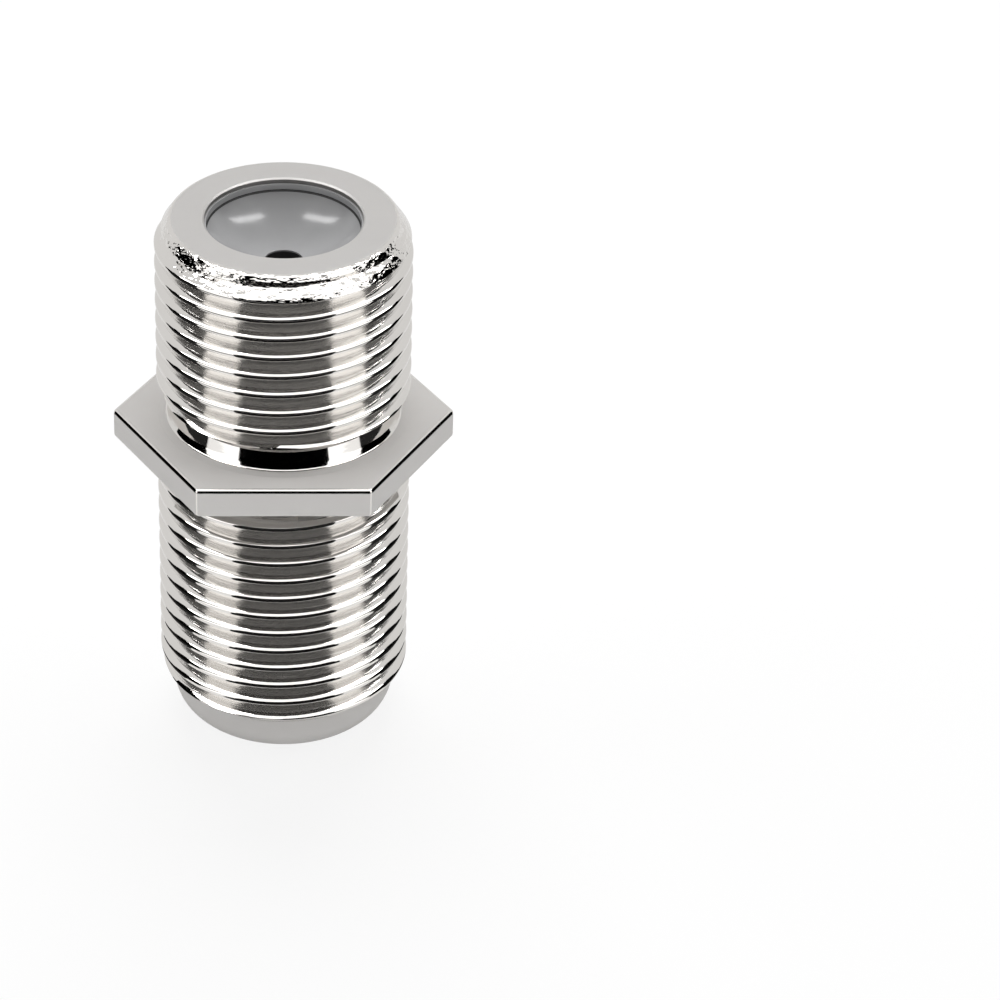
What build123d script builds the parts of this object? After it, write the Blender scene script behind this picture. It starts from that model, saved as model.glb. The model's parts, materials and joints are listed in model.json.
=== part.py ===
from build123d import *
import math
import os

# Female to female F coupler. Lengths are in millimetres.
# The barrel stands on its rounded lower end, with its axis on Z and the floor at height 0.

# Lengths along the axis
upper_length = 8.3
flange_thickness = 1.2
lower_length = 11.9

# Hexagon flange
flange_across_flats = 11.1
flange_corner_round = 0.2
flange_edge_break = 0.1

# Outside thread, 3/8-32 UNEF, right-handed
thread_major_diameter = 9.525
threads_per_inch = 32
thread_crest_width = 0.1
thread_flank_angle = 30.0
upper_crest_height = 1.28
lower_crest_height = 1.74

# Undercut beside each face of the flange, where the thread runs out
undercut_below_root = 0.03
undercut_width = 0.75
undercut_bevel_width = 0.55
undercut_bevel_height = 0.3
undercut_lead = 0.55

# Upper end of the thread
tip_diameter = 8.25
tip_chamfer_height = 0.8
tip_edge_round = 0.3

# Smooth nose below the lower thread
nose_diameter = 8.5
nose_length = 1.65
nose_round_width = 1.15
nose_round_height = 1.2
nose_lead = 0.45

# Inside of the barrel
bore_diameter = 7.0
mouth_diameter = 5.84
mouth_bevel = 0.06
upper_lip = 0.2
lower_lip = 0.3

# Moulded insulator behind each mouth
insulator_clearance = 0.03
insulator_length = 6.0
insulator_head_length = 3.6
insulator_collar_diameter = 4.4
bowl_diameter = 5.7
bowl_rim_depth = 0.26
bowl_floor_depth = 1.6
bowl_radius = 3.5
guide_hole_diameter = 1.44
guide_wall = 0.4

# Double-ended centre contact
contact_clearance = 0.04
contact_diameter = 2.0
contact_bore_diameter = 1.1
contact_bore_depth = 3.6
contact_tip_gap = 0.1
contact_slot_width = 0.25
contact_slot_length = 3.0
contact_shoulder_diameter = 3.2

# Places that follow from the sizes above
pitch = 25.4 / threads_per_inch
flank_rise = (pitch - thread_crest_width) / 2
thread_depth = flank_rise / math.tan(math.radians(thread_flank_angle))
crest_radius = thread_major_diameter / 2
root_radius = crest_radius - thread_depth
undercut_radius = root_radius - undercut_below_root
tip_radius = tip_diameter / 2
nose_radius = nose_diameter / 2
bore_radius = bore_diameter / 2
mouth_radius = mouth_diameter / 2
flange_bottom = lower_length
flange_top = flange_bottom + flange_thickness
barrel_top = flange_top + upper_length
upper_seat = barrel_top - upper_lip
lower_seat = lower_lip
pilot_radius = mouth_radius / 2


def turned(*outline):
    """Solid of revolution of a closed outline of (radius, height) corners."""
    return revolve(make_face(Plane.XZ * Polyline(*outline, close=True)), Axis.Z)


def rod(radius, low, high):
    """Plain round rod between two heights."""
    return turned((0, low), (radius, low), (radius, high), (0, high))


def thread_outline():
    """Corners of one pitch of the thread: flat crest, flank down to the root, flank up."""
    return [
        (crest_radius, 0),
        (crest_radius, thread_crest_width),
        (root_radius, thread_crest_width + flank_rise),
        (crest_radius, pitch),
    ]


def helix_turn(radius, height):
    """One turn of the thread's helix, from the X axis round to it again."""
    return Edge.make_helix(pitch, pitch, radius, (0, 0, height))


def strip(low, high, height):
    """One turn of the ruled surface between two corners of the thread outline."""
    first = helix_turn(low[0], height + low[1])
    second = helix_turn(high[0], height + high[1])
    return Face.make_surface_from_curves(first, second)


def outline_cap(corners, height):
    """Flat end of the coil, in the plane through the axis."""
    points = [(radius, 0, height + rise) for radius, rise in corners]
    return make_face(Polyline(*points, close=True)).face()


def thread_coil(start, turns):
    """Threaded rod round a small hole, sewn from helical strips of one turn each."""
    outline = thread_outline()
    inner_low = (pilot_radius / 2, 0)
    inner_high = (pilot_radius / 2, pitch)
    faces = []
    for turn in range(turns):
        height = start + turn * pitch
        faces += [strip(a, b, height) for a, b in zip(outline, outline[1:])]
        faces.append(strip(inner_low, inner_high, height))
    end = start + turns * pitch
    section = [inner_low] + outline + [inner_high]
    faces += [strip(inner_low, outline[0], start), strip(inner_low, outline[0], end)]
    faces += [outline_cap(section, start), outline_cap(section, end)]
    return Solid(Shell(faces))


def threaded_sleeve(low, high, front_crest, envelope):
    """Threaded tube trimmed to a turned envelope, with a crest at front_crest on the -Y side."""
    at_x_axis = front_crest - 0.75 * pitch - thread_crest_width / 2
    start = at_x_axis - pitch * math.ceil((at_x_axis + pitch - low) / pitch)
    turns = math.ceil((high - start) / pitch) + 1
    coil = thread_coil(start, turns)
    coil -= rod(pilot_radius, start - pitch, start + (turns + 2) * pitch)
    return coil & envelope


def past_crest(end_radius, end_height, rise):
    """Point where the cone from an end to the crest has run on clear of the thread."""
    beyond = crest_radius + thread_depth
    return beyond, end_height + rise * (beyond - end_radius) / (crest_radius - end_radius)


def upper_thread():
    """Thread above the flange, chamfered at the barrel's end and led out at the undercut."""
    low = flange_top + undercut_width
    profile = make_face(Plane.XZ * Polyline(
        (0, low),
        (undercut_radius, low),
        past_crest(undercut_radius, low, undercut_lead),
        past_crest(tip_radius, barrel_top, -tip_chamfer_height),
        (tip_radius, barrel_top),
        (0, barrel_top),
        close=True,
    ))
    rim = profile.vertices().sort_by_distance((tip_radius, 0, barrel_top))[0]
    envelope = revolve(fillet(rim, tip_edge_round), Axis.Z)
    return threaded_sleeve(low, barrel_top, flange_top + upper_crest_height, envelope)


def lower_thread():
    """Thread below the flange, led out at the undercut and at the nose."""
    high = flange_bottom - undercut_width
    envelope = turned(
        (0, nose_length),
        (nose_radius, nose_length),
        past_crest(nose_radius, nose_length, nose_lead),
        past_crest(undercut_radius, high, -undercut_lead),
        (undercut_radius, high),
        (0, high),
    )
    return threaded_sleeve(nose_length, high, flange_bottom - lower_crest_height, envelope)


def flange():
    """Hexagon with rounded corners and a small break round both faces."""
    hexagon = RegularPolygon(flange_across_flats / 2, 6, major_radius=False)
    block = Pos(0, 0, flange_bottom) * extrude(hexagon, flange_thickness)
    block = fillet(block.edges().filter_by(Axis.Z), flange_corner_round)
    return chamfer(block.faces().filter_by(Axis.Z).edges(), flange_edge_break)


def undercut_neck(face, away):
    """Neck between a flange face and its thread, bevelled at the flange; away is 1 or -1."""
    far = face + away * undercut_width
    return turned(
        (0, face),
        (undercut_radius + undercut_bevel_width, face),
        (undercut_radius, face + away * undercut_bevel_height),
        (undercut_radius, far),
        (0, far),
    )


def nose():
    """Smooth lower end, rounded where it is rolled in."""
    middle = (nose_radius - nose_round_width, nose_round_height)
    outline = Curve([
        EllipticalCenterArc(middle, nose_round_width, nose_round_height, 270, arc_size=90),
        Polyline(
            (nose_radius, nose_round_height),
            (nose_radius, nose_length),
            (0, nose_length),
            (0, 0),
            (nose_radius - nose_round_width, 0),
        ),
    ])
    return revolve(make_face(Plane.XZ * outline), Axis.Z)


def cavity():
    """Inside of the barrel: a bore between two lips, with a bevelled mouth at each end."""
    flare = mouth_radius + mouth_bevel
    return turned(
        (0, 0),
        (flare, 0),
        (mouth_radius, mouth_bevel),
        (mouth_radius, lower_seat),
        (bore_radius, lower_seat),
        (bore_radius, upper_seat),
        (mouth_radius, upper_seat),
        (mouth_radius, barrel_top - mouth_bevel),
        (flare, barrel_top),
        (0, barrel_top),
    )


def barrel_shell():
    """Flange, undercuts, threads and nose, turned and bored as one piece."""
    body = flange() + undercut_neck(flange_top, 1) + undercut_neck(flange_bottom, -1)
    body += upper_thread()
    body += lower_thread()
    body += nose()
    return body - cavity()


def insulator():
    """Moulded cap with a bowl in its face; the face is at height 0 and looks up."""
    outside = bore_radius - insulator_clearance
    bowl_edge = (bowl_diameter / 2, -bowl_rim_depth)
    bowl_floor = (guide_hole_diameter / 2, -bowl_floor_depth)
    pocket = contact_diameter / 2 + contact_clearance
    pocket_top = -bowl_floor_depth - guide_wall
    collar = insulator_collar_diameter / 2
    outline = Curve([
        Line((outside, 0), (bowl_edge[0], 0)),
        Line((bowl_edge[0], 0), bowl_edge),
        RadiusArc(bowl_edge, bowl_floor, bowl_radius),
        Polyline(
            bowl_floor,
            (bowl_floor[0], pocket_top),
            (pocket, pocket_top),
            (pocket, -insulator_length),
            (collar, -insulator_length),
            (collar, -insulator_head_length),
            (outside, -insulator_head_length),
            (outside, 0),
        ),
    ])
    return revolve(make_face(Plane.XZ * outline), Axis.Z)


def contact_half():
    """Upper half of the contact, with its middle at height 0: thick shank, slotted socket."""
    shoulder = (upper_seat - lower_seat) / 2 - insulator_length
    tip = shoulder + insulator_length - bowl_floor_depth - guide_wall - contact_tip_gap
    socket = contact_diameter / 2
    bore = contact_bore_diameter / 2
    half = turned(
        (0, 0),
        (contact_shoulder_diameter / 2, 0),
        (contact_shoulder_diameter / 2, shoulder),
        (socket, shoulder),
        (socket, tip),
        (bore, tip),
        (bore, tip - contact_bore_depth),
        (0, tip - contact_bore_depth),
    )
    slot = Box(contact_diameter * 2, contact_slot_width, contact_slot_length)
    return half - Pos(0, 0, tip - contact_slot_length / 2) * slot


def center_contact():
    """Socket at both ends, each in the collar of its insulator."""
    half = contact_half()
    middle = Pos(0, 0, (upper_seat + lower_seat) / 2)
    return middle * (half + Rot(180, 0, 0) * half)


def build():
    """Write each piece to its own file."""
    pieces = {
        "barrel_shell": barrel_shell(),
        "upper_insulator": Pos(0, 0, upper_seat) * insulator(),
        "lower_insulator": Pos(0, 0, lower_seat) * Rot(180, 0, 0) * insulator(),
        "center_contact": center_contact(),
    }
    os.makedirs("parts", exist_ok=True)
    for name, piece in pieces.items():
        export_step(piece, f"parts/{name}.step")


build()
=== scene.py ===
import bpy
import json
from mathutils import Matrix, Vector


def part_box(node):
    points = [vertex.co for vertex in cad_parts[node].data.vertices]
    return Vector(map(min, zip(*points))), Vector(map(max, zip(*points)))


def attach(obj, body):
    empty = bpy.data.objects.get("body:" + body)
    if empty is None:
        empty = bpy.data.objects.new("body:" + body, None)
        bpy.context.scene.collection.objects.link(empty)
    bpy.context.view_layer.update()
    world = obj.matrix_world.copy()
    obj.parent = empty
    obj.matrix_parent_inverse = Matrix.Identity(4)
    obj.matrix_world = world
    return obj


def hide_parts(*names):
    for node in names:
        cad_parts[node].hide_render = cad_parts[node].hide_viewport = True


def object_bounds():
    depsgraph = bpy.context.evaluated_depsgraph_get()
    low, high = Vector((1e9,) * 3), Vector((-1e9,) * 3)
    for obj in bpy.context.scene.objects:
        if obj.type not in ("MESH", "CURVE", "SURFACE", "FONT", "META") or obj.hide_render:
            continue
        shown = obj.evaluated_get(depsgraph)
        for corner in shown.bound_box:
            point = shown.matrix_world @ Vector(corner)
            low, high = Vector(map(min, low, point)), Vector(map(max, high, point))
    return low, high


bl_info = {
    "name": "F coupler",
    "version": (1, 0, 0),
    "blender": (4, 5, 0),
    "location": "3D View > Sidebar > Coupler",
    "description": "Builds the surfaces, finishes and studio of a nickel plated F coupler",
    "category": "Add Mesh",
}

import json
import math

import bmesh
import bpy
import numpy as np
from bpy.props import FloatProperty, FloatVectorProperty, IntProperty, PointerProperty
from mathutils import Quaternion, Vector

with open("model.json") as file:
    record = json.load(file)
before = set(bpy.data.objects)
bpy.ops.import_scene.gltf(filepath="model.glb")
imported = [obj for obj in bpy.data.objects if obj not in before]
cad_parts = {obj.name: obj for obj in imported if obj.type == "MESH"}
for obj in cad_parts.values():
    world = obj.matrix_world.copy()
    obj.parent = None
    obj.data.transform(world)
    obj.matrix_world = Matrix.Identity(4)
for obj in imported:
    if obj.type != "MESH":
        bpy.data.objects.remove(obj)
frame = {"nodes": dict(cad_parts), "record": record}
cad_low, cad_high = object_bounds()

MM = 0.001
TURN = 2 * math.pi
FRONT = 0.75 * TURN  # angle of the -Y side, where the crests are measured
HALF_SIDE = TURN / 12  # angle from a hexagon's corner to the middle of its flat
BODY = "root"

# How finely the surfaces are drawn
THREAD_ROWS = (0.04, 0.075, 0.11, 0.17, 0.27, 0.37, 0.43)  # pitches from a crest's middle
EASED_ROWS = 5  # round an eased corner
EDGE_ROWS = 7  # round the hexagon's rubbed edges
NOSE_ROWS = 24  # round the nose
BOWL_ROWS = 40  # from the bowl's wall to the conductor hole
BEVEL_ROWS = 12  # of the bore's outline, down to the end of the mouth's bevel
CORNER_COLUMNS = 5  # on half a hexagon corner's arc
TIP_ROW_HEIGHT = 0.02 * MM  # between rows on the chamfer
ROW_BESIDE_EDGE = 0.03 * MM  # from a rubbed edge to the next row on the flat
ROW_INSIDE_EDGE = 0.04 * MM  # from a rubbed edge to the next row on the face
CUT_ROUNDING = 0.02 * MM  # of the corner where one cut crosses another
SHARP_ANGLE = math.radians(40)  # corners that turn more are shaded sharp
LEVEL_ANGLE = math.radians(20)  # faces that lean less count as level
WELD_DISTANCE = 1e-7  # closer points become one
SHORTEST_EDGE = 1e-8  # shorter edges vanish

mounts = {mount["name"]: mount for mount in frame["record"]["mounts"]}
flange_low = mounts["flange_lower_face"]["pos_m"][2]
flange_high = mounts["flange_upper_face"]["pos_m"][2]
crest_radius = mounts["upper_thread"]["dims"]["r_mm"] * MM
hole_radius = mounts["upper_conductor_entry"]["dims"]["r_mm"] * MM
hole_length = mounts["upper_conductor_entry"]["dims"]["length_mm"] * MM
hole_middle = mounts["upper_conductor_entry"]["pos_m"][2]
barrel_top = cad_high.z
flat_distance = cad_high.y
insulator_low, insulator_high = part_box("upper_insulator")


def linear(code):
    """A linear colour from an sRGB hex code."""
    parts = np.array([int(code[place:place + 2], 16) / 255 for place in (1, 3, 5)])
    values = np.where(parts <= 0.04045, parts / 12.92, ((parts + 0.055) / 1.055) ** 2.4)
    return (*values.tolist(), 1)


# Sizes and colours that a user would change

LENGTH = {"unit": "LENGTH", "precision": 6}
COLOUR = {"subtype": "COLOR", "size": 4, "min": 0, "max": 1}


class ThreadSizes(bpy.types.PropertyGroup):
    """Sizes of the outside thread."""

    pitch: FloatProperty(
        name="Pitch", description="Height of one turn of the thread",
        default=25.4 / 32 * MM, **LENGTH)
    crest_width: FloatProperty(
        name="Crest width", description="Width of the flat on top of the thread",
        default=0.15 * MM, **LENGTH)
    flank_angle: FloatProperty(
        name="Flank angle", description="Lean of each flank from square to the axis",
        default=math.radians(30), subtype="ANGLE")
    depth: FloatProperty(
        name="Depth", description="Depth from the crest to the rounded root",
        default=0.5 * MM, **LENGTH)
    crest_rounding: FloatProperty(
        name="Crest rounding", description="How far the plating rounds the edges of the crest",
        default=0.035 * MM, **LENGTH)
    root_rounding: FloatProperty(
        name="Root rounding", description="How far the root is rounded",
        default=0.08 * MM, **LENGTH)
    upper_crest: FloatProperty(
        name="Upper crest", description="Height of a crest above the flange, on the -Y side",
        default=1.14 * MM, **LENGTH)
    lower_crest: FloatProperty(
        name="Lower crest", description="Depth of a crest below the flange, on the -Y side",
        default=1.89 * MM, **LENGTH)


class ShellSizes(bpy.types.PropertyGroup):
    """Sizes of the turned shell."""

    columns: IntProperty(
        name="Columns per half side", description="Mesh columns on half a side of the hexagon",
        default=17, min=8)
    corner_rounding: FloatProperty(
        name="Corner rounding", description="Radius of the hexagon's upright corners",
        default=0.2 * MM, **LENGTH)
    edge_break: FloatProperty(
        name="Edge break", description="Radius of the rubbed edges round the hexagon's faces",
        default=0.15 * MM, **LENGTH)
    edge_easing: FloatProperty(
        name="Edge easing", description="How far the plating eases a sharp edge",
        default=0.018 * MM, **LENGTH)
    neck_radius: FloatProperty(
        name="Neck radius", description="Radius of the undercut where the thread starts",
        default=4.15 * MM, **LENGTH)
    neck_length: FloatProperty(
        name="Neck length", description="Width of the undercut beside the flange",
        default=0.75 * MM, **LENGTH)
    neck_lead: FloatProperty(
        name="Neck lead", description="Length over which the thread runs out at the undercut",
        default=0.55 * MM, **LENGTH)
    lower_lead: FloatProperty(
        name="Lower lead", description="Length over which the thread runs out under the flange",
        default=0.15 * MM, **LENGTH)
    neck_foot_radius: FloatProperty(
        name="Neck foot radius", description="Radius of the neck where it turns out to the flange",
        default=4.27 * MM, **LENGTH)
    neck_foot_height: FloatProperty(
        name="Neck foot height", description="Height above the flange where the neck turns out",
        default=0.27 * MM, **LENGTH)
    ring_radius: FloatProperty(
        name="Ring radius", description="Radius of the shallow turned ring round the neck's foot",
        default=4.7 * MM, **LENGTH)
    ring_height: FloatProperty(
        name="Ring height", description="Height of the shallow turned ring at its inner edge",
        default=0.09 * MM, **LENGTH)
    tip_radius: FloatProperty(
        name="Tip radius", description="Radius of the upper end where its chamfer would end sharp",
        default=4.2 * MM, **LENGTH)
    tip_chamfer: FloatProperty(
        name="Tip chamfer", description="Height of the chamfer at the upper end",
        default=0.8 * MM, **LENGTH)
    tip_rounding: FloatProperty(
        name="Tip rounding", description="How far the edge of the upper end is rounded",
        default=0.13 * MM, **LENGTH)
    nose_radius: FloatProperty(
        name="Nose radius", description="Radius of the smooth lower end",
        default=4.25 * MM, **LENGTH)
    nose_length: FloatProperty(
        name="Nose length", description="Length of the smooth lower end",
        default=1.65 * MM, **LENGTH)
    nose_lead: FloatProperty(
        name="Nose lead", description="Length over which the thread runs out at the nose",
        default=0.45 * MM, **LENGTH)
    nose_round_width: FloatProperty(
        name="Nose round width", description="Width of the rounded lower edge",
        default=1.15 * MM, **LENGTH)
    nose_round_height: FloatProperty(
        name="Nose round height", description="Height of the rounded lower edge",
        default=1.2 * MM, **LENGTH)
    mouth_radius: FloatProperty(
        name="Mouth radius", description="Radius of the opening at each end",
        default=2.92 * MM, **LENGTH)
    mouth_bevel: FloatProperty(
        name="Mouth bevel", description="Width of the bevel round each opening",
        default=0.06 * MM, **LENGTH)
    bore_radius: FloatProperty(
        name="Bore radius", description="Radius of the bore behind the lips",
        default=3.5 * MM, **LENGTH)
    lower_lip: FloatProperty(
        name="Lower lip", description="Thickness of the rolled lip at the lower end",
        default=0.3 * MM, **LENGTH)


class InsulatorSizes(bpy.types.PropertyGroup):
    """Sizes of the moulded insulators."""

    bowl_edge: FloatProperty(
        name="Bowl edge", description="Radius of the bowl where it meets its wall",
        default=2.85 * MM, **LENGTH)
    bowl_wall: FloatProperty(
        name="Bowl wall", description="Height of the upright wall round the bowl",
        default=0.26 * MM, **LENGTH)
    bowl_radius: FloatProperty(
        name="Bowl radius", description="Radius of the bowl's round bottom",
        default=3.5 * MM, **LENGTH)
    pocket_radius: FloatProperty(
        name="Pocket radius", description="Radius of the hole that holds the contact",
        default=1.04 * MM, **LENGTH)
    head_length: FloatProperty(
        name="Head length", description="Length of the wide part that fills the bore",
        default=3.6 * MM, **LENGTH)
    collar_radius: FloatProperty(
        name="Collar radius", description="Radius of the collar behind the head",
        default=2.2 * MM, **LENGTH)
    easing: FloatProperty(
        name="Easing", description="How far the mould eases an edge",
        default=0.03 * MM, **LENGTH)
    columns: IntProperty(
        name="Columns", description="Mesh columns round an insulator",
        default=160, min=24)


class Finishes(bpy.types.PropertyGroup):
    """Colours and smoothness of the finishes."""

    bright_dark: FloatVectorProperty(
        name="Bright dark tone", description="Darker tone of the bright plate",
        default=linear("#e6e3df"), **COLOUR)
    bright_light: FloatVectorProperty(
        name="Bright light tone", description="Lighter tone of the bright plate",
        default=linear("#efece8"), **COLOUR)
    plastic_dark: FloatVectorProperty(
        name="Plastic dark tone", description="Darker tone of the insulators",
        default=linear("#a2a2a3"), **COLOUR)
    plastic_light: FloatVectorProperty(
        name="Plastic light tone", description="Lighter tone of the insulators",
        default=linear("#ababac"), **COLOUR)
    bright_roughness: FloatProperty(
        name="Bright roughness", description="Roughness of bright plated necks, crests and edges",
        default=0.06, min=0, max=1)
    thread_roughness: FloatProperty(
        name="Thread roughness", description="Roughness of the plated thread across its tool marks",
        default=0.15, min=0, max=1)
    faced_roughness: FloatProperty(
        name="Faced roughness", description="Roughness of the faced ends",
        default=0.55, min=0, max=1)
    # The bore's roughness is its own; its darker colour is painted shade.
    bored_roughness: FloatProperty(
        name="Bore roughness", description="Roughness of the thinly plated bore",
        default=0.35, min=0, max=1)
    satin_roughness: FloatProperty(
        name="Satin roughness", description="Roughness of the flange and the nose",
        default=0.9, min=0, max=1)
    plastic_roughness: FloatProperty(
        name="Plastic roughness", description="Roughness of the moulded insulators",
        default=0.16, min=0, max=1)


class StudioSettings(bpy.types.PropertyGroup):
    """Camera, floor and light round the coupler."""

    elevation: FloatProperty(
        name="Camera elevation", description="Angle of the view above the floor",
        default=math.radians(31.63), subtype="ANGLE")
    distance: FloatProperty(
        name="Camera distance", description="Distance from the camera to the barrel's axis",
        default=160 * MM, unit="LENGTH")
    axis_height: FloatProperty(
        name="Axis height", description="Height on the barrel's axis where the distance ends",
        default=15.26 * MM, unit="LENGTH")
    aim_right: FloatProperty(
        name="Aim right", description="How far to the right of the axis the camera aims",
        default=8.086 * MM, **LENGTH)
    aim_up: FloatProperty(
        name="Aim up", description="How far above that height the camera aims",
        default=-5.215 * MM, **LENGTH)
    roll: FloatProperty(
        name="Roll", description="Turn of the camera that keeps the barrel upright in the picture",
        default=math.radians(1.909), subtype="ANGLE")
    lens: FloatProperty(
        name="Lens", description="Focal length in millimetres", default=154.04)
    floor_size: FloatProperty(
        name="Floor size", description="Length of the floor's sides", default=3, unit="LENGTH")
    floor_glow: FloatProperty(
        name="Floor glow", description="Share of the floor's white that shadow can't darken",
        default=0.85, min=0, max=1)
    mirrored_white: FloatProperty(
        name="Mirrored white", description="Brightness of the surroundings in reflections",
        default=0.75, min=0, max=1)
    even_light: FloatProperty(
        name="Even light", description="Brightness of the surroundings as plain light",
        default=0.17, min=0, max=1)


# Meshes

def soft_step(value, width):
    """Half of the sum of the value and the root of its square plus the width's square: the value
    where it is above 0, and a soft fade to 0 below."""
    return (value + np.sqrt(value ** 2 + width ** 2)) / 2


def soft_lower(first, second, width):
    """The lower of two curves, with the corner where they cross rounded over the width."""
    return first - soft_step(first - second, width)


def thread_radius(angle, height, crest_height):
    """Crest radius less the depth at the distance from the nearest turn of a helix that rises one
    pitch a turn. The depth is 0 on the crest's flat, grows down the flank and stops at the root."""
    sizes = bpy.context.scene.coupler_thread
    turns = (height - crest_height) / sizes.pitch - (angle - FRONT) / TURN
    away = np.abs(turns - np.round(turns)) * sizes.pitch
    past_crest = away - sizes.crest_width / 2
    fall = soft_step(past_crest / math.tan(sizes.flank_angle), sizes.crest_rounding)
    return crest_radius - soft_lower(fall, sizes.depth, sizes.root_rounding)


def trimmed_radius(angle, height, crest_height, cones):
    """The thread's radius, lowered to cones. A cone is (radius, height, length): from its small end
    there it grows to the crest's radius over the length, downwards where that is negative."""
    trimmed = thread_radius(angle, height, crest_height)
    for radius, end, length in cones:
        cone = radius + (height - end) * (crest_radius - radius) / length
        trimmed = soft_lower(trimmed, cone, CUT_ROUNDING)
    return trimmed


def from_corner(angle):
    """Angle between a direction and the nearest corner of the hexagon; one is on the X axis."""
    return np.abs((angle + HALF_SIDE) % (2 * HALF_SIDE) - HALF_SIDE)


def hexagon_radius(angle, inset):
    """Distance to a rounded hexagon moved in by an inset: straight flats, and corner arcs that
    meet them at a tangent."""
    rounding = bpy.context.scene.coupler_shell.corner_rounding
    away = from_corner(angle)
    centre = (flat_distance - rounding) / math.cos(HALF_SIDE)
    radius = rounding - inset
    arc = centre * np.cos(away) + np.sqrt(np.maximum(radius ** 2 - (centre * np.sin(away)) ** 2, 0))
    straight = (flat_distance - inset) / np.cos(HALF_SIDE - away)
    return np.where(away < corner_reach(inset), np.minimum(arc, cad_high.x), straight)


def corner_reach(inset):
    """Angle at the axis between the middle of a rounded corner and its end."""
    rounding = bpy.context.scene.coupler_shell.corner_rounding
    centre = (flat_distance - rounding) / math.cos(HALF_SIDE)
    radius = rounding - inset
    return math.atan2(radius * math.sin(HALF_SIDE), centre + radius * math.cos(HALF_SIDE))


def even_angles(count):
    """Angles of evenly spaced columns, with the first repeated one turn on."""
    return np.linspace(0, TURN, count + 1)


def hexagon_angles(half_count):
    """Angles of columns that gather at the hexagon's corners: some evenly on each half arc, and the
    rest along the flat, from a little past the arc's end."""
    reach = corner_reach(0)
    arc = reach * np.linspace(0, 1, CORNER_COLUMNS)
    flat = np.linspace(reach * 1.4, HALF_SIDE, half_count - CORNER_COLUMNS + 1)[:-1]
    half = np.concatenate([arc, flat])
    side = np.concatenate([half, [HALF_SIDE], 2 * HALF_SIDE - half[:0:-1]])
    return np.append((side + 2 * HALF_SIDE * np.arange(6)[:, None]).ravel(), TURN)


def toward(point, other, distance):
    """The point moved by a distance towards another."""
    step = other - point
    length = np.linalg.norm(step, axis=-1, keepdims=True)
    return point + step * distance / np.maximum(length, 1e-12)  # no division by 0


def outline_rows(corners, angle):
    """Rows through (radius, height, ease) corners. An eased corner is a parabola that starts and
    ends that far from it, with a row beside each end."""
    spots = [
        np.stack(np.broadcast_arrays(radius, height, angle)[:2], axis=-1)
        for radius, height, _ in corners
    ]
    rows = []
    for index, (spot, corner) in enumerate(zip(spots, corners)):
        ease = corner[2]
        if not ease:
            rows.append(spot)
            continue
        before, after = spots[index - 1], spots[index + 1]
        start, end = toward(spot, before, ease), toward(spot, after, ease)
        rows.append(toward(spot, before, 2 * ease))
        for share in np.linspace(0, 1, EASED_ROWS):
            rest = 1 - share
            rows.append(rest ** 2 * start + 2 * share * rest * spot + share ** 2 * end)
        rows.append(toward(spot, after, 2 * ease))
    return [(row[:, 0], row[:, 1], angle) for row in rows]


def arc_corners(middle, width, height, start, end, steps):
    """Corners along part of an ellipse: its middle plus the half axes times cosine and sine."""
    return [
        (middle[0] + width * math.cos(turn), middle[1] + height * math.sin(turn), 0)
        for turn in np.linspace(start, end, steps)
    ]


def thread_stretches(low, high, crest_height, cones, angle, crest, flank):
    """Rows that follow the helix, placed where the thread bends, cut off at both heights and
    lowered to the cones. Those from a ninth of the pitch below a crest's middle to a quarter above
    it get the crest's finish."""
    pitch = bpy.context.scene.coupler_thread.pitch
    side = np.array(THREAD_ROWS) * pitch
    offsets = np.concatenate([[0], side, [pitch / 2], pitch - side[::-1]])
    rise = pitch * (angle - FRONT) / TURN
    first = math.floor((low - crest_height) / pitch) - 1
    last = math.ceil((high - crest_height) / pitch) + 1
    stretches = []
    for turn in range(first, last + 1):
        for offset, following in zip(offsets, [*offsets[1:], pitch]):
            height = np.clip(crest_height + turn * pitch + offset + rise, low, high)
            middle = (offset + following) / 2
            finish = crest if middle < pitch / 4 or middle > pitch * 8 / 9 else flank
            radius = trimmed_radius(angle, height, crest_height, cones)
            stretches.append((finish, [(radius, height, angle)]))
    return stretches


def tube_mesh(name, stretches):
    """Closed tube: each row is a ring of (radius, height, angle), joined to the next one, and the
    last to the first. A stretch is (index of a finish, rows)."""
    rows = [row for _, part in stretches for row in part]
    finish = [index for index, part in stretches for _ in part]
    radius, height, angle = (np.stack(values) for values in zip(*rows))
    points = np.stack([radius * np.cos(angle), radius * np.sin(angle), height], axis=-1)
    count, columns = radius.shape
    corner = np.arange(count * columns).reshape(count, columns)
    above = np.roll(corner, -1, axis=0)
    quads = np.stack([corner[:, :-1], corner[:, 1:], above[:, 1:], above[:, :-1]], axis=-1)
    quads = quads.reshape(-1, 4)
    mesh = bpy.data.meshes.new(name)
    mesh.vertices.add(count * columns)
    mesh.vertices.foreach_set("co", points.ravel())
    mesh.loops.add(quads.size)
    mesh.loops.foreach_set("vertex_index", quads.ravel())
    mesh.polygons.add(len(quads))
    mesh.polygons.foreach_set("loop_start", np.arange(0, quads.size, 4))
    mesh.polygons.foreach_set("material_index", np.repeat(finish, columns - 1))
    mesh.polygons.foreach_set("use_smooth", np.ones(len(quads), dtype=bool))
    mesh.update(calc_edges=True)
    weld(mesh)
    mesh.set_sharp_from_angle(angle=SHARP_ANGLE)
    return mesh


def weld(mesh):
    """Joins the points that lie on each other, so that seams close and folded rows vanish."""
    shape = bmesh.new()
    shape.from_mesh(mesh)
    bmesh.ops.remove_doubles(shape, verts=shape.verts, dist=WELD_DISTANCE)
    bmesh.ops.dissolve_degenerate(shape, edges=shape.edges, dist=SHORTEST_EDGE)
    shape.to_mesh(mesh)
    shape.free()
    mesh.update()


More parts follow.
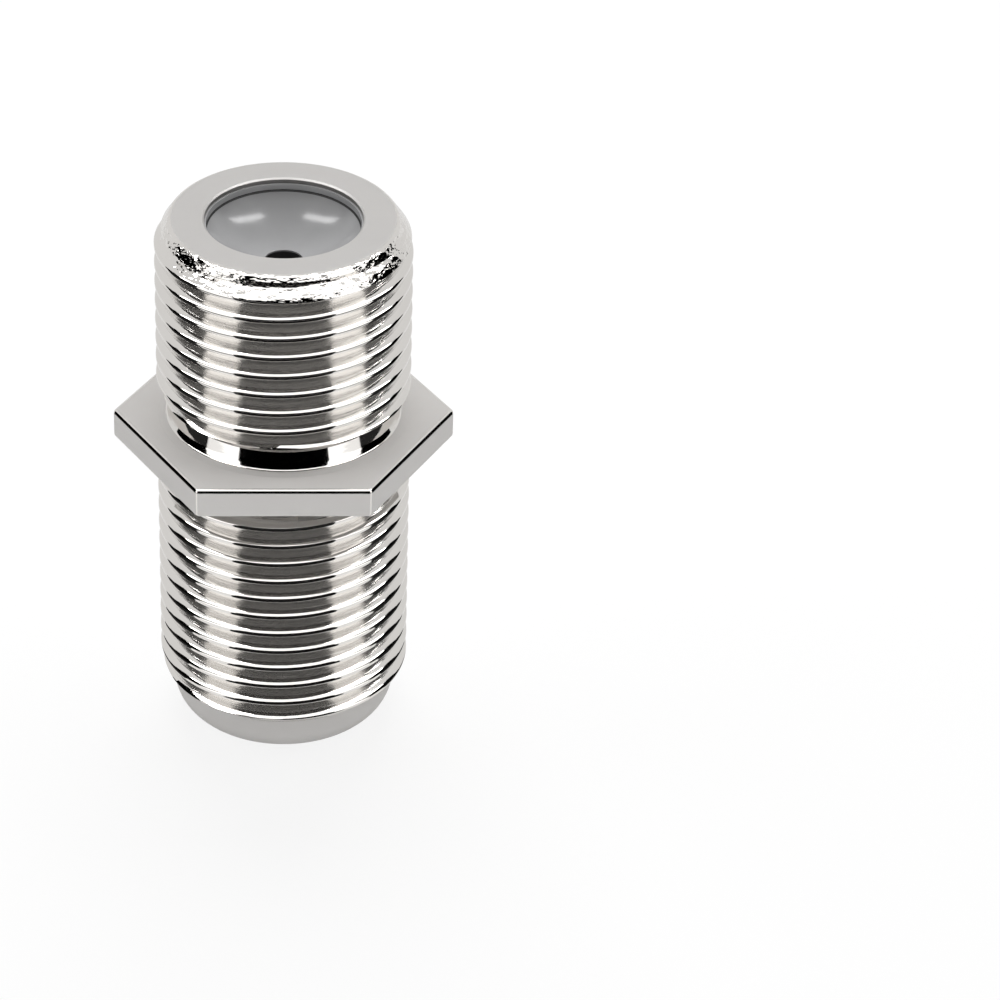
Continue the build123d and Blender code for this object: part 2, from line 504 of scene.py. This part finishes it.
def show(name, mesh, materials, node):
    """Puts a mesh in the scene as a piece that stands for a CAD node and rides on the body, with
    more materials if it needs them."""
    piece = bpy.data.objects.new(name, mesh)
    bpy.context.scene.collection.objects.link(piece)
    for material in materials:
        mesh.materials.append(material)
    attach(piece, BODY)
    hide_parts(node)


# The turned shell

def nose_rows(shell, angle):
    """From the mouth's bevel, over the narrow ring it stands on and the ellipse, to the thread."""
    middle = (shell.nose_radius - shell.nose_round_width, shell.nose_round_height)
    corners = [
        (shell.mouth_radius, shell.mouth_bevel, 0),
        (shell.mouth_radius + shell.mouth_bevel, 0, 0),
        *arc_corners(
            middle, shell.nose_round_width, shell.nose_round_height, -TURN / 4, 0, NOSE_ROWS),
        (shell.nose_radius, shell.nose_length, 0),
    ]
    return outline_rows(corners, angle)


def neck_rows(shell, face, away, angle):
    """From the undercut's sloping neck round its foot to the turned ring on the flange's face; away
    is 1 or -1."""
    foot_ease, foot_width = 0.05 * MM, 0.11 * MM
    corners = [
        (shell.neck_radius, face + away * shell.neck_length, 0),
        (shell.neck_foot_radius, face + away * shell.neck_foot_height, foot_ease),
        (shell.neck_foot_radius + foot_width, face + away * shell.ring_height, foot_ease),
        (shell.ring_radius, face, shell.edge_easing / 2),
        (shell.ring_radius + 4 * shell.edge_easing, face, 0),
    ]
    if away > 0:
        corners.reverse()
    return outline_rows(corners, angle)


def edge_rows(shell, face, away, angle):
    """Quarter round along a hexagon edge: it moves in by one less the cosine as it rises by the
    sine; away is 1 or -1."""
    rows = []
    for turn in np.linspace(0, TURN / 4, EDGE_ROWS):
        inset = shell.edge_break * (1 - math.cos(turn))
        height = np.full_like(angle, face - away * shell.edge_break * (1 - math.sin(turn)))
        rows.append((hexagon_radius(angle, inset), height, angle))
    inner = hexagon_radius(angle, shell.edge_break) - ROW_INSIDE_EDGE
    rows.append((inner, np.full_like(angle, face), angle))
    return rows if away > 0 else rows[::-1]


def flat_rows(shell, angle):
    """The hexagon's flats, with a row close to each edge."""
    beside = shell.edge_break + ROW_BESIDE_EDGE
    edge = hexagon_radius(angle, 0)
    heights = (flange_low + beside, flange_high - beside)
    return [(edge, np.full_like(angle, height), angle) for height in heights]


def tip_rows(shell, low, crest_height, angle):
    """From the thread's last full row, over the chamfer and its rounded edge, to the flat end."""
    lean = (crest_radius - shell.tip_radius) / shell.tip_chamfer
    length = barrel_top - low - 3 * shell.tip_rounding
    rises = np.linspace(0, length, math.ceil(length / TIP_ROW_HEIGHT))
    corners = [(crest_radius - lean * rise, low + rise, 0) for rise in rises]
    corners.append((shell.tip_radius, barrel_top, shell.tip_rounding))
    corners.append((shell.mouth_radius + shell.mouth_bevel, barrel_top, 0))
    rows = []
    for radius, height, _ in outline_rows(corners, angle)[:-1]:
        thread = thread_radius(angle, height, crest_height)
        rows.append((soft_lower(radius, thread, CUT_ROUNDING), height, angle))
    return rows


def bore_rows(shell, angle):
    """From the flat upper end over the mouth's bevel, down past both lips, to the lower mouth."""
    seat = insulator_high.z
    flare = shell.mouth_radius + shell.mouth_bevel
    ease = shell.edge_easing / 2
    corners = [
        (flare + 4 * ease, barrel_top, 0),
        (flare, barrel_top, ease),
        (shell.mouth_radius, barrel_top - shell.mouth_bevel, ease),
        (shell.mouth_radius, seat + ease, 0),
        (shell.mouth_radius, seat, 0),
        (shell.bore_radius, seat, 0),
        (shell.bore_radius, shell.lower_lip, 0),
        (shell.mouth_radius, shell.lower_lip, 0),
    ]
    return outline_rows(corners, angle)


def paint_faces(mesh, end_finish, flange_finish, corner_finish):
    """Gives a finish to the level faces, whose normal is nearly upright: one at the ends, another
    on the flange. The middle of each upright corner of the hexagon gets a finish too."""
    normals = np.empty(len(mesh.polygons) * 3)
    centres = np.empty(len(mesh.polygons) * 3)
    finishes = np.empty(len(mesh.polygons), dtype=int)
    mesh.polygons.foreach_get("normal", normals)
    mesh.polygons.foreach_get("center", centres)
    mesh.polygons.foreach_get("material_index", finishes)
    normals, centres = normals.reshape(-1, 3), centres.reshape(-1, 3)
    level = np.abs(normals[:, 2]) > math.cos(LEVEL_ANGLE)
    flange_middle = (flange_low + flange_high) / 2
    off_flange = np.abs(centres[:, 2] - flange_middle) > flange_high - flange_low
    away = from_corner(np.arctan2(centres[:, 1], centres[:, 0]))
    outside = np.hypot(centres[:, 0], centres[:, 1]) > flat_distance
    upright = np.abs(normals[:, 2]) < 0.5
    corner = outside & upright & (away < corner_reach(0) / 4)
    finishes = np.where(corner, corner_finish, finishes)
    painted = np.where(off_flange, end_finish, flange_finish)
    mesh.polygons.foreach_set("material_index", np.where(level, painted, finishes))


class COUPLER_OT_shell(bpy.types.Operator):
    """Builds the turned shell with its threads, hexagon and undercuts, in place of the plain one"""

    bl_idname = "coupler.shell"
    bl_label = "Shell"

    def execute(self, context):
        shell, thread = context.scene.coupler_shell, context.scene.coupler_thread
        hexagon = hexagon_angles(shell.columns)
        even = even_angles(len(hexagon) - 1)
        upper_crest = flange_high + thread.upper_crest
        lower_crest = flange_low - thread.lower_crest
        upper_start = flange_high + shell.neck_length
        lower_end = flange_low - shell.neck_length
        tip_start = barrel_top - shell.tip_chamfer
        upper_cones = [
            (shell.neck_radius, upper_start, shell.neck_lead),
            (shell.tip_radius, barrel_top, -shell.tip_chamfer),
        ]
        lower_cones = [
            (shell.neck_radius, lower_end, -shell.lower_lead),
            (shell.nose_radius, shell.nose_length, shell.nose_lead),
        ]
        finishes = (
            faced_nickel, bright_nickel, cut_nickel, burred_nickel, satin_nickel, bore_nickel_with_painted_shade,
            drawn_nickel)
        faced, bright, cut, burred, satin, bored, drawn = range(len(finishes))
        bore = bore_rows(shell, even)
        stretches = [
            (drawn, nose_rows(shell, even)),
            *thread_stretches(
                shell.nose_length, lower_end, lower_crest, lower_cones, even, bright, cut),
            (bright, neck_rows(shell, flange_low, -1, even)),
            (drawn, edge_rows(shell, flange_low, -1, hexagon)),
            (drawn, flat_rows(shell, hexagon)),
            (bright, edge_rows(shell, flange_high, 1, hexagon)),
            (bright, neck_rows(shell, flange_high, 1, even)),
            *thread_stretches(
                upper_start, tip_start, upper_crest, upper_cones, even, bright, cut),
            (burred, tip_rows(shell, tip_start, upper_crest, even)),
            (faced, bore[:BEVEL_ROWS]),
            # the bore's darker grey is painted shade
            (bored, bore[BEVEL_ROWS:]),
        ]
        mesh = tube_mesh("shell", stretches)
        paint_faces(mesh, faced, satin, bright)
        made = [make(context.scene.coupler_finish) for make in finishes]
        show("shell", mesh, made, "barrel_shell")
        return {"FINISHED"}


# The moulded insulators and the contact

def insulator_rows(angle):
    """Closed outline of the cap: face, wall, round bowl, conductor hole, pocket, collar and head.
    The rows in the hole, the pocket and the corner at the wall's foot get the second finish, a
    near-black colour painted as shade."""
    sizes = bpy.context.scene.coupler_insulator
    face, back = insulator_high.z, insulator_low.z
    outside = insulator_high.x
    hole_top, hole_bottom = hole_middle + hole_length / 2, hole_middle - hole_length / 2
    edge = np.array([sizes.bowl_edge, face - sizes.bowl_wall])
    floor = np.array([hole_radius, hole_top])
    chord = floor - edge
    half = np.linalg.norm(chord) / 2
    square = np.array([chord[1], -chord[0]]) / (2 * half)
    middle = (edge + floor) / 2 + square * math.sqrt(sizes.bowl_radius ** 2 - half ** 2)
    start = math.atan2(*(edge - middle)[::-1])
    end = math.atan2(*(floor - middle)[::-1])
    bowl = arc_corners(middle, sizes.bowl_radius, sizes.bowl_radius, start, end, BOWL_ROWS)
    corners = [
        (outside, face - sizes.head_length, 0),
        (outside, face, sizes.easing),
        (sizes.bowl_edge, face, sizes.easing / 2),
        (*bowl[0][:2], sizes.easing / 2),
        *bowl[1:],
        (hole_radius, hole_top - 2 * sizes.easing, 0),
        (hole_radius, hole_bottom, 0),
        (sizes.pocket_radius, hole_bottom, 0),
        (sizes.pocket_radius, back, 0),
        (sizes.collar_radius, back, 0),
        (sizes.collar_radius, face - sizes.head_length, 0),
    ]
    stretches = []
    for row in outline_rows(corners, angle):
        radius, height = float(row[0][0]), float(row[1][0])
        in_hole = radius <= sizes.pocket_radius and height < hole_top - sizes.easing
        across, along = abs(radius - edge[0]), abs(height - edge[1])
        in_corner = across < 1.2 * sizes.easing and along < 1.5 * sizes.easing
        # the hole, the pocket and the wall's foot get the near-black painted shade
        stretches.append((int(in_hole or in_corner), [row]))
    return stretches


class COUPLER_OT_insulators(bpy.types.Operator):
    """Builds the two moulded insulators, the lower one turned over"""

    bl_idname = "coupler.insulators"
    bl_label = "Insulators"

    def execute(self, context):
        plastics = [moulded_polyethylene(context.scene.coupler_finish), painted_shade_polyethylene()]
        angle = even_angles(context.scene.coupler_insulator.columns)
        mesh = tube_mesh("insulator_top", insulator_rows(angle))
        show("insulator_top", mesh, plastics, "upper_insulator")
        turned = mesh.copy()
        turned.name = "insulator_bottom"
        points = np.empty(len(turned.vertices) * 3)
        turned.vertices.foreach_get("co", points)
        points = points.reshape(-1, 3) * (1, -1, -1)
        points[:, 2] += insulator_high.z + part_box("lower_insulator")[0].z
        turned.vertices.foreach_set("co", points.ravel())
        turned.update()
        show("insulator_bottom", turned, [], "lower_insulator")
        return {"FINISHED"}


class COUPLER_OT_contact(bpy.types.Operator):
    """Gives the double-ended contact its bronze finish, darkened with painted shade"""

    bl_idname = "coupler.contact"
    bl_label = "Contact"

    def execute(self, context):
        contact = frame["nodes"]["center_contact"]
        contact.data.materials.clear()
        contact.data.materials.append(bronze_with_painted_shade())
        return {"FINISHED"}


# Finishes

def add_node(tree, kind, inputs=None, **settings):
    """Adds a node, sets its properties, and gives each named input a value or a link."""
    made = tree.nodes.new(kind)
    for name, value in settings.items():
        setattr(made, name, value)
    for name, value in (inputs or {}).items():
        if isinstance(value, bpy.types.NodeSocket):
            tree.links.new(value, made.inputs[name])
        else:
            made.inputs[name].default_value = value
    return made


def new_material(name):
    """An empty node material and its tree."""
    material = bpy.data.materials.new(name)
    material.use_nodes = True
    material.node_tree.nodes.clear()
    return material, material.node_tree


def around_axis(tree):
    """A vector of (distance from the axis, 0, height), the same all round a turned piece."""
    place = add_node(tree, "ShaderNodeTexCoord").outputs["Object"]
    flat = add_node(
        tree, "ShaderNodeVectorMath", {0: place, 1: (1, 1, 0)}, operation="MULTIPLY")
    radius = add_node(tree, "ShaderNodeVectorMath", {0: flat.outputs[0]}, operation="LENGTH")
    height = add_node(tree, "ShaderNodeSeparateXYZ", {0: place})
    both = add_node(tree, "ShaderNodeCombineXYZ", {
        "X": radius.outputs["Value"], "Z": height.outputs["Z"]})
    return both.outputs[0]


def turned_metal(name, dark, light, marks, ripple, roughness, metallic=1.0):
    """Metal turned on a lathe: tool marks run round the axis, under a coarser ripple that is longer
    round the axis than along it, and the tone drifts between dark and light. Marks and ripple are
    (width, depth) in millimetres."""
    drift_width = 2.5 * MM
    stretch = (1, 1, 2.5)
    material, tree = new_material(name)
    place = add_node(tree, "ShaderNodeTexCoord").outputs["Object"]
    rings = add_node(tree, "ShaderNodeTexNoise", {
        "Vector": around_axis(tree), "Scale": 1 / (marks[0] * MM), "Detail": 3.0,
        "Roughness": 0.6})
    flattened = add_node(
        tree, "ShaderNodeVectorMath", {0: place, 1: stretch}, operation="MULTIPLY")
    waves = add_node(tree, "ShaderNodeTexNoise", {
        "Vector": flattened.outputs[0], "Scale": 1 / (ripple[0] * MM), "Detail": 2.0,
        "Roughness": 0.5})
    drift = add_node(tree, "ShaderNodeTexNoise", {
        "Vector": place, "Scale": 1 / drift_width, "Detail": 3.0, "Roughness": 0.6})
    tone = add_node(tree, "ShaderNodeMix", {
        "Factor": drift.outputs["Fac"], "A": dark, "B": light}, data_type="RGBA")
    fine = add_node(tree, "ShaderNodeBump", {
        "Distance": marks[1] * MM, "Height": rings.outputs["Fac"]})
    bump = add_node(tree, "ShaderNodeBump", {
        "Distance": ripple[1] * MM, "Height": waves.outputs["Fac"], "Normal": fine.outputs[0]})
    surface = add_node(tree, "ShaderNodeBsdfPrincipled", {
        "Base Color": tone.outputs[2], "Metallic": metallic, "Roughness": roughness,
        "Normal": bump.outputs[0]})
    add_node(tree, "ShaderNodeOutputMaterial", {"Surface": surface.outputs[0]})
    return material


def satin_nickel(finish):
    """Satin nickel plate on the flange's turned faces: an even pale grey, no clear reflection."""
    return turned_metal(
        "satin nickel plate", linear("#d3d1cf"), linear("#dbd9d7"),
        marks=(0.08, 0.0006), ripple=(0.6, 0.0006),
        roughness=finish.satin_roughness, metallic=0.75)


def drawn_nickel(finish):
    """Matt nickel plate on the drawn flats and the rolled nose: a soft, even grey, almost without
    the dark and light of a mirror."""
    return turned_metal(
        "matt nickel plate on drawn brass", linear("#c1bfbd"), linear("#c8c6c4"),
        marks=(0.08, 0.0006), ripple=(0.6, 0.0006),
        roughness=finish.satin_roughness, metallic=0.2)


def faced_nickel(finish):
    """Nickel plate on faced brass: an even pale grey, with faint rings from the tool."""
    return turned_metal(
        "nickel plate on faced brass", linear("#cccac8"), linear("#d4d2d0"),
        marks=(0.06, 0.001), ripple=(0.6, 0.0006),
        roughness=finish.faced_roughness)


def bright_nickel(finish):
    """Bright nickel plate on a smooth neck, a crest or a rubbed edge: a clear, warm mirror."""
    return turned_metal(
        "bright nickel plate", finish.bright_dark, finish.bright_light,
        marks=(0.12, 0.0004), ripple=(0.4, 0.001),
        roughness=finish.bright_roughness)


def bore_nickel_with_painted_shade(finish):
    """Nickel plate in the bore, in a soft dark grey that is painted shade for the inside of the
    bore.
    """
    return turned_metal(
        "dull nickel plate in the bore", linear("#8b8987"), linear("#949290"),
        marks=(0.05, 0.0006), ripple=(0.4, 0.0006),
        roughness=finish.bored_roughness)


def burred_nickel(finish):
    """Bright nickel plate over the burrs that threading leaves on a chamfer: hard black and white
    glints. The ripple's width is that of a burr."""
    return turned_metal(
        "bright nickel plate on burred chamfer", finish.bright_dark, finish.bright_light,
        marks=(0.05, 0.0006), ripple=(0.42, 0.085),
        roughness=finish.bright_roughness)


def cut_nickel(finish):
    """Bright nickel plate over a cut thread: mirrors clearly along the thread, but smeared across
    its tool marks. They are drawn coarser than real ones, which would be too fine to show."""
    material = turned_metal(
        "bright nickel plate on cut thread", linear("#e4e1dd"), linear("#edeae6"),
        marks=(0.11, 0.014), ripple=(0.45, 0.005),
        roughness=finish.thread_roughness, metallic=0.92)
    tree = material.node_tree
    around = add_node(tree, "ShaderNodeTangent", direction_type="RADIAL", axis="Z")
    surface = next(node for node in tree.nodes if node.type == "BSDF_PRINCIPLED").inputs
    surface["Anisotropic"].default_value = 0.6
    surface["Anisotropic Rotation"].default_value = 0.25
    tree.links.new(around.outputs[0], surface["Tangent"])
    return material


def polyethylene(name, dark, light, roughness):
    """Moulded polyethylene: soft gloss, a little waxy, with faint flow in its tone and a fine
    grain from the mould."""
    flow_width, grain_width, grain_depth = 1.2 * MM, 0.09 * MM, 0.0005 * MM
    material, tree = new_material(name)
    place = add_node(tree, "ShaderNodeTexCoord").outputs["Object"]
    flow = add_node(tree, "ShaderNodeTexNoise", {
        "Vector": place, "Scale": 1 / flow_width, "Detail": 3.0, "Roughness": 0.6})
    grain = add_node(tree, "ShaderNodeTexNoise", {
        "Vector": place, "Scale": 1 / grain_width, "Detail": 2.0, "Roughness": 0.5})
    tone = add_node(tree, "ShaderNodeMix", {
        "Factor": flow.outputs["Fac"], "A": dark, "B": light}, data_type="RGBA")
    bump = add_node(tree, "ShaderNodeBump", {
        "Distance": grain_depth, "Height": grain.outputs["Fac"]})
    surface = add_node(tree, "ShaderNodeBsdfPrincipled", {
        "Base Color": tone.outputs[2], "IOR": 1.51, "Normal": bump.outputs[0],
        "Roughness": roughness})
    add_node(tree, "ShaderNodeOutputMaterial", {"Surface": surface.outputs[0]})
    return material


def moulded_polyethylene(finish):
    """Grey moulding of the insulators: an even mid grey with a soft shine."""
    return polyethylene(
        "moulded grey polyethylene", finish.plastic_dark, finish.plastic_light,
        finish.plastic_roughness)


def painted_shade_polyethylene():
    """The same moulding inside the conductor hole and at the foot of the bowl's wall, painted
    nearly black and dull as the shade of the hole and of the corner."""
    return polyethylene(
        "polyethylene darkened by the conductor", linear("#1f1f1f"), linear("#292929"), 0.6)


def bronze_with_painted_shade():
    """Phosphor bronze spring: a dull brown of aged bronze, darkened nearly to black as painted
    shade for its place inside the hole.
    """
    return turned_metal(
        "aged phosphor bronze", linear("#3f3831"), linear("#4a433b"),
        marks=(0.1, 0.0008), ripple=(0.5, 0.0006),
        roughness=0.5)


# Camera, floor and light

# Where the cards end, as azimuths in degrees from the camera's side
FRONT_EDGE = 42  # front flag, and the reflectors beside it
FLOOR_END = 75  # reflectors on the floor
FLAG_START, FLAG_END = 76, 115  # flags at the sides


def add_camera(studio):
    """Camera beyond the -Y side, raised by the elevation, aimed beside the barrel and rolled to
    keep it upright in the picture."""
    sine, cosine = math.sin(studio.elevation), math.cos(studio.elevation)
    right, up, away = Vector((1, 0, 0)), Vector((0, sine, cosine)), Vector((0, -cosine, sine))
    centre = Vector((0, 0, studio.axis_height))
    data = bpy.data.cameras.new("camera")
    camera = bpy.data.objects.new("camera", data)
    bpy.context.scene.collection.objects.link(camera)
    camera.location = centre + away * studio.distance
    aim = centre + right * studio.aim_right + up * studio.aim_up
    camera.rotation_mode = "QUATERNION"
    look = (aim - camera.location).to_track_quat("-Z", "Y")
    camera.rotation_quaternion = look @ Quaternion((0, 0, 1), studio.roll)
    data.lens = studio.lens
    data.clip_start = 0.005
    data.clip_end = 10
    bpy.context.scene.camera = camera


def flat_object(name, corners, material):
    """A single flat face through its corners, which belongs to the studio."""
    mesh = bpy.data.meshes.new(name)
    mesh.from_pydata([tuple(corner) for corner in corners], [], [tuple(range(len(corners)))])
    mesh.materials.append(material)
    made = bpy.data.objects.new(name, mesh)
    bpy.context.scene.collection.objects.link(made)
    return made


def add_floor(studio):
    """Pale floor: lit white paper mixed with an even white, so that it keeps a soft shadow."""
    material, tree = new_material("white paper floor")
    rays = add_node(tree, "ShaderNodeLightPath").outputs
    seen = add_node(tree, "ShaderNodeMath", {
        0: rays["Is Camera Ray"], 1: rays["Is Glossy Ray"]}, operation="MAXIMUM")
    through = add_node(tree, "ShaderNodeMath", {
        0: seen.outputs[0], 1: rays["Is Transmission Ray"]}, operation="MAXIMUM")
    share = add_node(tree, "ShaderNodeMath", {
        0: through.outputs[0], 1: studio.floor_glow}, operation="MULTIPLY")
    strength = add_node(tree, "ShaderNodeMapRange", {
        "Value": rays["Is Camera Ray"], "To Min": studio.mirrored_white, "To Max": 1.0})
    paper = add_node(tree, "ShaderNodeBsdfDiffuse", {"Color": linear("#f4f4f4")})
    white = add_node(tree, "ShaderNodeEmission", {
        "Color": linear("#ffffff"), "Strength": strength.outputs[0]})
    mixed = add_node(tree, "ShaderNodeMixShader", {
        0: share.outputs[0], 1: paper.outputs[0], 2: white.outputs[0]})
    add_node(tree, "ShaderNodeOutputMaterial", {"Surface": mixed.outputs[0]})
    half = studio.floor_size / 2
    corners = [(-half, -half, 0), (half, -half, 0), (half, half, 0), (-half, half, 0)]
    flat_object("floor", corners, material)


def glow(name, strength):
    """Material of a card that gives an even light, or is black with none."""
    material, tree = new_material(name)
    light = add_node(tree, "ShaderNodeEmission", {"Color": linear("#ffffff"), "Strength": strength})
    add_node(tree, "ShaderNodeOutputMaterial", {"Surface": light.outputs[0]})
    return material


def add_card(name, corners, strength):
    """A studio card that only reflections show."""
    card = flat_object(name, corners, glow(name, strength))
    card.visible_camera = False
    card.visible_diffuse = False
    card.visible_shadow = False


def direction(azimuth, elevation):
    """Unit vector at an azimuth from the camera's side and an elevation, both in degrees."""
    around, raised = math.radians(azimuth), math.radians(elevation)
    level = math.cos(raised)
    return Vector((math.sin(around) * level, -math.cos(around) * level, math.sin(raised)))


def floor_card(name, edges, near, far, strength):
    """Card just above the floor between two azimuths and two distances from the barrel's axis."""
    first, last = (direction(azimuth, 0) for azimuth in edges)
    corners = [first * near, first * far, last * far, last * near]
    for corner in corners:
        corner.z = 0.02 * MM
    add_card(name, corners, strength)


def wall_card(name, edges, reach, high, strength):
    """Card that stands on the floor at a distance, between two azimuths, as high as an elevation
    seen from the barrel's middle."""
    top = Vector((0, 0, barrel_top / 2 + reach * math.tan(math.radians(high))))
    left, right = (direction(azimuth, 0) * reach for azimuth in edges)
    corners = [left, right, right + top, left + top]
    add_card(name, corners, strength)


def ceiling_card(name, height, front, back, half_width, strength):
    """Level card overhead, from a distance towards the camera to a distance away from it."""
    corners = [
        (-half_width, -front, height), (half_width, -front, height),
        (half_width, back, height), (-half_width, back, height),
    ]
    add_card(name, corners, strength)


def strip_card(name, first, last, width, strength):
    """Narrow card between two (azimuth, elevation) directions, its width in degrees high."""
    reach = 220 * MM
    corners = [direction(*first), direction(*last)]
    corners += [direction(last[0], last[1] + width), direction(first[0], first[1] + width)]
    add_card(name, [corner * reach for corner in corners], strength)


def add_lamp(name, place, size, power):
    """Square soft lamp that faces the barrel's middle and isn't mirrored by it."""
    data = bpy.data.lights.new(name, "AREA")
    data.size = size
    data.energy = power
    lamp = bpy.data.objects.new(name, data)
    bpy.context.scene.collection.objects.link(lamp)
    lamp.visible_glossy = False
    lamp.location = place
    lamp.rotation_mode = "QUATERNION"
    aim = Vector((0, 0, barrel_top / 2)) - lamp.location
    lamp.rotation_quaternion = aim.to_track_quat("-Z", "Y")


def add_world(studio):
    """Even surroundings: white to the camera, greyer in reflections, and a low plain light."""
    world = bpy.data.worlds.new("studio")
    bpy.context.scene.world = world
    world.use_nodes = True
    tree = world.node_tree
    tree.nodes.clear()
    rays = add_node(tree, "ShaderNodeLightPath").outputs
    mirrored = add_node(tree, "ShaderNodeMapRange", {
        "Value": rays["Is Glossy Ray"], "To Min": studio.even_light,
        "To Max": studio.mirrored_white})
    strength = add_node(tree, "ShaderNodeMath", {
        0: mirrored.outputs[0], 1: rays["Is Camera Ray"]}, operation="MAXIMUM")
    back = add_node(tree, "ShaderNodeBackground", {
        "Color": linear("#ffffff"), "Strength": strength.outputs[0]})
    add_node(tree, "ShaderNodeOutputWorld", {"Surface": back.outputs[0]})


def add_front_cards():
    """White ceiling, and a black flag towards the camera that darkens the middle of the plating."""
    ceiling_card(
        "ceiling", height=250 * MM, front=230 * MM, back=50 * MM, half_width=150 * MM,
        strength=1.5)
    edges = (-FRONT_EDGE, FRONT_EDGE)
    floor_card("front floor flag", edges, near=8 * MM, far=82 * MM, strength=0.01)
    floor_card("front floor gap", edges, near=82 * MM, far=94 * MM, strength=0.7)
    wall_card("front flag", edges, reach=94 * MM, high=36, strength=0.0)


def add_side_cards(name, side):
    """Black flag beside the barrel, and before it white reflectors with a dark stripe on the floor
    and a bright strip above; side is -1 on the left and 1 on the right."""
    flag = (FLAG_START * side, FLAG_END * side)
    floor_card(f"{name} floor flag", flag, near=7 * MM, far=75 * MM, strength=0.02)
    wall_card(f"{name} flag", flag, reach=75 * MM, high=35, strength=0.0)
    floor = (FRONT_EDGE * side, FLOOR_END * side)
    floor_card(f"{name} floor reflector", floor, near=7 * MM, far=38 * MM, strength=0.9)
    floor_card(f"{name} floor stripe", floor, near=38 * MM, far=56 * MM, strength=0.05)
    floor_card(f"{name} far floor reflector", floor, near=56 * MM, far=100 * MM, strength=1.0)
    wall = (FRONT_EDGE * side, FLAG_START * side)
    wall_card(f"{name} reflector", wall, reach=100 * MM, high=65, strength=1.4)
    strip_card(f"{name} strip", (65 * side, 63), (111 * side, 36), width=8, strength=11.0)


class COUPLER_OT_studio(bpy.types.Operator):
    """Sets up the camera, the pale floor, the soft lamps and the cards that the plating mirrors"""

    bl_idname = "coupler.studio"
    bl_label = "Studio"

    def execute(self, context):
        studio = context.scene.coupler_studio
        add_camera(studio)
        add_floor(studio)
        add_world(studio)
        add_lamp("back softbox", (0, 0.18, 0.28), size=0.25, power=1.0)
        add_lamp("front softbox", (0, -0.35, 0.03), size=0.05, power=0.6)
        add_front_cards()
        for name, side in (("left", -1), ("right", 1)):
            add_lamp(f"{name} softbox", (0.27 * side, 0.06, 0.2), size=0.25, power=0.3)
            add_side_cards(name, side)
        context.scene.view_settings.view_transform = "Standard"
        return {"FINISHED"}


class COUPLER_PT_panel(bpy.types.Panel):
    """Buttons for the coupler's pieces and its studio"""

    bl_idname = "COUPLER_PT_panel"
    bl_label = "Coupler"
    bl_space_type = "VIEW_3D"
    bl_region_type = "UI"
    bl_category = "Coupler"

    def draw(self, context):
        for operator in OPERATORS:
            self.layout.operator(operator.bl_idname)


GROUPS = {
    "coupler_thread": ThreadSizes,
    "coupler_shell": ShellSizes,
    "coupler_insulator": InsulatorSizes,
    "coupler_finish": Finishes,
    "coupler_studio": StudioSettings,
}
OPERATORS = (COUPLER_OT_shell, COUPLER_OT_insulators, COUPLER_OT_contact, COUPLER_OT_studio)


def register():
    for group in GROUPS.values():
        bpy.utils.register_class(group)
    for name, group in GROUPS.items():
        setattr(bpy.types.Scene, name, PointerProperty(type=group))
    for made in (*OPERATORS, COUPLER_PT_panel):
        bpy.utils.register_class(made)


def unregister():
    for made in (COUPLER_PT_panel, *reversed(OPERATORS)):
        bpy.utils.unregister_class(made)
    for name in GROUPS:
        delattr(bpy.types.Scene, name)
    for group in GROUPS.values():
        bpy.utils.unregister_class(group)


def main():
    register()
    bpy.ops.coupler.shell()
    bpy.ops.coupler.insulators()
    bpy.ops.coupler.contact()
    bpy.ops.coupler.studio()


if __name__ == "__main__":
    main()
